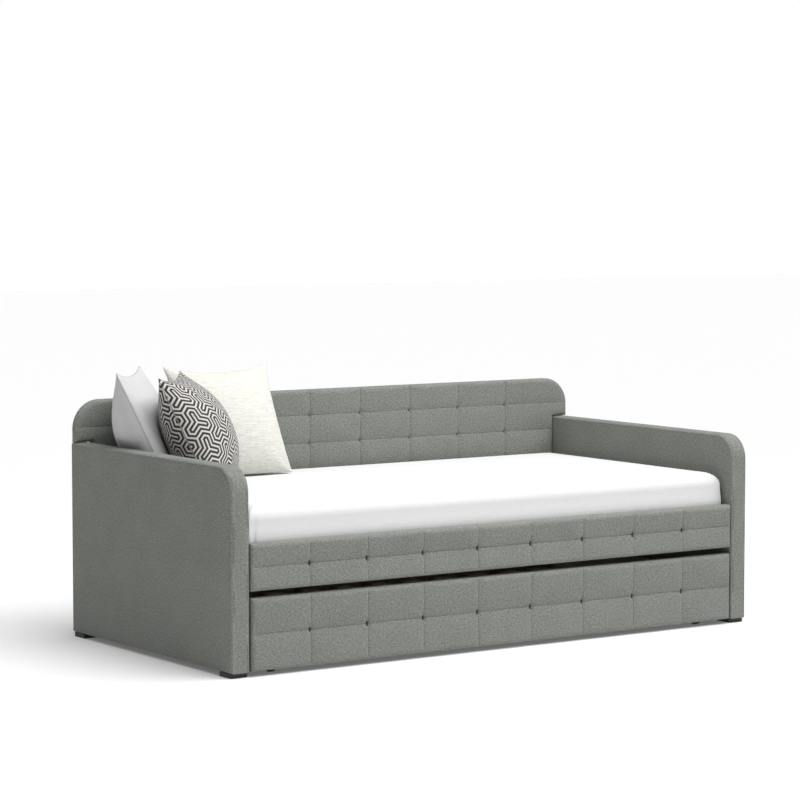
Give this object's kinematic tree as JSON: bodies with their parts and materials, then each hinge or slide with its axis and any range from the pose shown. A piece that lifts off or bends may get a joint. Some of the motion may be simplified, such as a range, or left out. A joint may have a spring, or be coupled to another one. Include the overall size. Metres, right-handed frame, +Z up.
{
  "type": "trundle bed",
  "caption": "Upholstered daybed with quilted front rail and back panel, rounded arms, a wheeled pull-out trundle below, a mattress and loose cushions.",
  "frame": {"origin": "on the floor, under the middle of the bed", "axes": "+X along the bed's length, -Y towards the front where the trundle rolls out, +Z up"},
  "size_m": [2.12, 1.066, 0.9175],
  "materials": {
    "upholstery_fabric": "woven heather polyester, grey-green",
    "frame_timber": "planed softwood",
    "frame_plywood": "plywood",
    "trundle_board": "black laminate on board",
    "foot_plastic": "moulded, near black",
    "zinc_steel": "zinc plated",
    "wheel_plastic": "moulded nylon",
    "wheel_rubber": "soft tread",
    "webbing": "woven tape",
    "white_cotton": "plain white cotton",
    "patterned_fabric": "printed linen, dark lines on a pale ground",
    "slub_fabric": "slub weave, cream"
  },
  "bodies": {
    "bed_frame": {"left_arm_cover": "upholstery_fabric", "right_arm_cover": "upholstery_fabric", "back_panel_cover": "upholstery_fabric", "back_panel_rear": "upholstery_fabric", "back_panel_tufts": "upholstery_fabric", "front_rail_cover": "upholstery_fabric", "front_rail_tufts": "upholstery_fabric", "left_arm_core": "frame_timber", "right_arm_core": "frame_timber", "front_rail_core": "frame_timber", "front_ledger": "frame_timber", "back_ledger": "frame_timber", "slats": "frame_timber", "back_panel_board": "frame_plywood", "front_left_foot": "foot_plastic", "front_right_foot": "foot_plastic", "back_left_foot": "foot_plastic", "back_right_foot": "foot_plastic", "frame_brackets": "zinc_steel", "frame_bolts": "zinc_steel", "foot_screws": "zinc_steel", "ledger_screws": "zinc_steel", "slat_straps": "webbing", "mattress": "white_cotton", "white_pillow": "white_cotton", "patterned_cushion": "patterned_fabric", "cream_cushion": "slub_fabric"},
    "trundle": {"trundle_front_core": "frame_timber", "trundle_front_cover": "upholstery_fabric", "trundle_front_tufts": "upholstery_fabric", "trundle_left_side": "trundle_board", "trundle_right_side": "trundle_board", "trundle_back_board": "trundle_board", "trundle_front_bearer": "frame_timber", "trundle_back_bearer": "frame_timber", "trundle_slats": "frame_timber", "trundle_slat_straps": "webbing", "trundle_brackets": "zinc_steel", "trundle_screws": "zinc_steel", "fork_screws": "zinc_steel", "front_left_fork": "zinc_steel", "front_right_fork": "zinc_steel", "back_left_fork": "zinc_steel", "back_right_fork": "zinc_steel", "front_left_axle": "zinc_steel", "front_right_axle": "zinc_steel", "back_left_axle": "zinc_steel", "back_right_axle": "zinc_steel"},
    "front_left_roller": {"front_left_wheel": "wheel_plastic", "front_left_tyre": "wheel_rubber"},
    "front_right_roller": {"front_right_wheel": "wheel_plastic", "front_right_tyre": "wheel_rubber"},
    "back_left_roller": {"back_left_wheel": "wheel_plastic", "back_left_tyre": "wheel_rubber"},
    "back_right_roller": {"back_right_wheel": "wheel_plastic", "back_right_tyre": "wheel_rubber"}
  },
  "joints": [
    {"name": "trundle_slide", "type": "slide", "parent": "bed_frame", "child": "trundle", "axis": [0, -1, 0], "range_m": [0, 1]},
    {"name": "front_left_roller_spin", "type": "hinge", "parent": "trundle", "child": "front_left_roller", "pos_m": [-0.88, -0.467, 0.025], "axis": [1, 0, 0], "range_deg": [0, 2300]},
    {"name": "front_right_roller_spin", "type": "hinge", "parent": "trundle", "child": "front_right_roller", "pos_m": [0.88, -0.467, 0.025], "axis": [1, 0, 0], "range_deg": [0, 2300]},
    {"name": "back_left_roller_spin", "type": "hinge", "parent": "trundle", "child": "back_left_roller", "pos_m": [-0.88, 0.47, 0.025], "axis": [1, 0, 0], "range_deg": [0, 2300]},
    {"name": "back_right_roller_spin", "type": "hinge", "parent": "trundle", "child": "back_right_roller", "pos_m": [0.88, 0.47, 0.025], "axis": [1, 0, 0], "range_deg": [0, 2300]}
  ],
  "couplings": [
    {"joint": "front_left_roller_spin", "follows": "trundle_slide", "rad_per_m": 40},
    {"joint": "front_right_roller_spin", "follows": "trundle_slide", "rad_per_m": 40},
    {"joint": "back_left_roller_spin", "follows": "trundle_slide", "rad_per_m": 40},
    {"joint": "back_right_roller_spin", "follows": "trundle_slide", "rad_per_m": 40}
  ]
}
